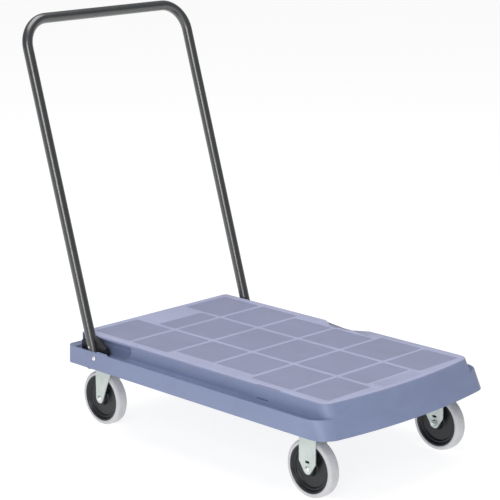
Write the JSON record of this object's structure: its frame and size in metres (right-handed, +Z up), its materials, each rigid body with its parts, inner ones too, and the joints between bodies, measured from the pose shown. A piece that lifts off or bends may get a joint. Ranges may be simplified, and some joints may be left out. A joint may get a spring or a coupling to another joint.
{
  "type": "folding platform cart",
  "caption": "Folding platform cart: flat moulded deck with sunken panels, folding tubular push handle, braked swivel casters under the handle end and rigid casters in front.",
  "frame": {"origin": "on the floor, under the middle of the whole cart with its handle up", "axes": "+X from the handle end to the front, +Y to the left side, +Z up"},
  "size_m": [0.9901, 0.526, 0.93],
  "materials": {
    "deck_plastic": "fine matte grain",
    "tube_paint": "gloss black",
    "black_plastic": "matte",
    "tyre_grey": "matte non-marking",
    "zinc": "zinc plated",
    "bright_steel": "bright"
  },
  "bodies": {
    "deck": {"deck": "deck_plastic", "stop_block_left": "black_plastic", "stop_block_right": "black_plastic", "stop_block_screws": "bright_steel", "pivot_bolt_left": "bright_steel", "pivot_bolt_right": "bright_steel", "pivot_bush_left": "bright_steel", "pivot_bush_right": "bright_steel", "pivot_nuts": "zinc", "caster_plate_left": "zinc", "caster_plate_right": "zinc", "upper_race_left": "zinc", "upper_race_right": "zinc", "kingpin_left": "bright_steel", "kingpin_right": "bright_steel", "rigid_fork_left": "zinc", "rigid_fork_right": "zinc", "caster_screws": "zinc", "axle_bolt_front_left": "zinc", "axle_bolt_front_right": "zinc", "axle_nut_front_left": "zinc", "axle_nut_front_right": "zinc", "axle_sleeve_front_left": "bright_steel", "axle_sleeve_front_right": "bright_steel"},
    "handle": {"handle_tube": "tube_paint", "handle_foot_left": "black_plastic", "handle_foot_right": "black_plastic", "foot_rivets": "bright_steel"},
    "swivel_left": {"swivel_fork_left": "zinc", "lower_race_left": "zinc", "race_balls_left": "bright_steel", "axle_bolt_rear_left": "zinc", "axle_nut_rear_left": "zinc", "axle_sleeve_rear_left": "bright_steel", "brake_pin_left": "bright_steel"},
    "brake_left": {"brake_lever_left": "black_plastic"},
    "swivel_right": {"swivel_fork_right": "zinc", "lower_race_right": "zinc", "race_balls_right": "bright_steel", "axle_bolt_rear_right": "zinc", "axle_nut_rear_right": "zinc", "axle_sleeve_rear_right": "bright_steel", "brake_pin_right": "bright_steel"},
    "brake_right": {"brake_lever_right": "black_plastic"},
    "wheel_rear_left": {"wheel_hub_rear_left": "black_plastic", "tyre_rear_left": "tyre_grey"},
    "wheel_rear_right": {"wheel_hub_rear_right": "black_plastic", "tyre_rear_right": "tyre_grey"},
    "wheel_front_left": {"wheel_hub_front_left": "black_plastic", "tyre_front_left": "tyre_grey"},
    "wheel_front_right": {"wheel_hub_front_right": "black_plastic", "tyre_front_right": "tyre_grey"}
  },
  "joints": [
    {"name": "handle_fold", "type": "hinge", "parent": "deck", "child": "handle", "pos_m": [-0.2436, 0, 0.1755], "axis": [0, 1, 0], "range_deg": [0, 105.7]},
    {"name": "swivel_turn_left", "type": "hinge", "parent": "deck", "child": "swivel_left", "pos_m": [-0.242, 0.2012, 0.145], "axis": [0, 0, 1], "continuous": true},
    {"name": "swivel_turn_right", "type": "hinge", "parent": "deck", "child": "swivel_right", "pos_m": [-0.242, -0.2012, 0.145], "axis": [0, 0, 1], "continuous": true},
    {"name": "wheel_spin_rear_left", "type": "hinge", "parent": "swivel_left", "child": "wheel_rear_left", "pos_m": [-0.2773, 0.2012, 0.0635], "axis": [0, 1, 0], "continuous": true},
    {"name": "wheel_spin_rear_right", "type": "hinge", "parent": "swivel_right", "child": "wheel_rear_right", "pos_m": [-0.2773, -0.2012, 0.0635], "axis": [0, 1, 0], "continuous": true},
    {"name": "brake_press_left", "type": "hinge", "parent": "swivel_left", "child": "brake_left", "pos_m": [-0.277, 0.2012, 0.1323], "axis": [0, -1, 0], "range_deg": [0, 7]},
    {"name": "brake_press_right", "type": "hinge", "parent": "swivel_right", "child": "brake_right", "pos_m": [-0.277, -0.2012, 0.1323], "axis": [0, -1, 0], "range_deg": [0, 7]},
    {"name": "wheel_spin_front_left", "type": "hinge", "parent": "deck", "child": "wheel_front_left", "pos_m": [0.3853, 0.2012, 0.0635], "axis": [0, 1, 0], "continuous": true},
    {"name": "wheel_spin_front_right", "type": "hinge", "parent": "deck", "child": "wheel_front_right", "pos_m": [0.3853, -0.2012, 0.0635], "axis": [0, 1, 0], "continuous": true}
  ]
}
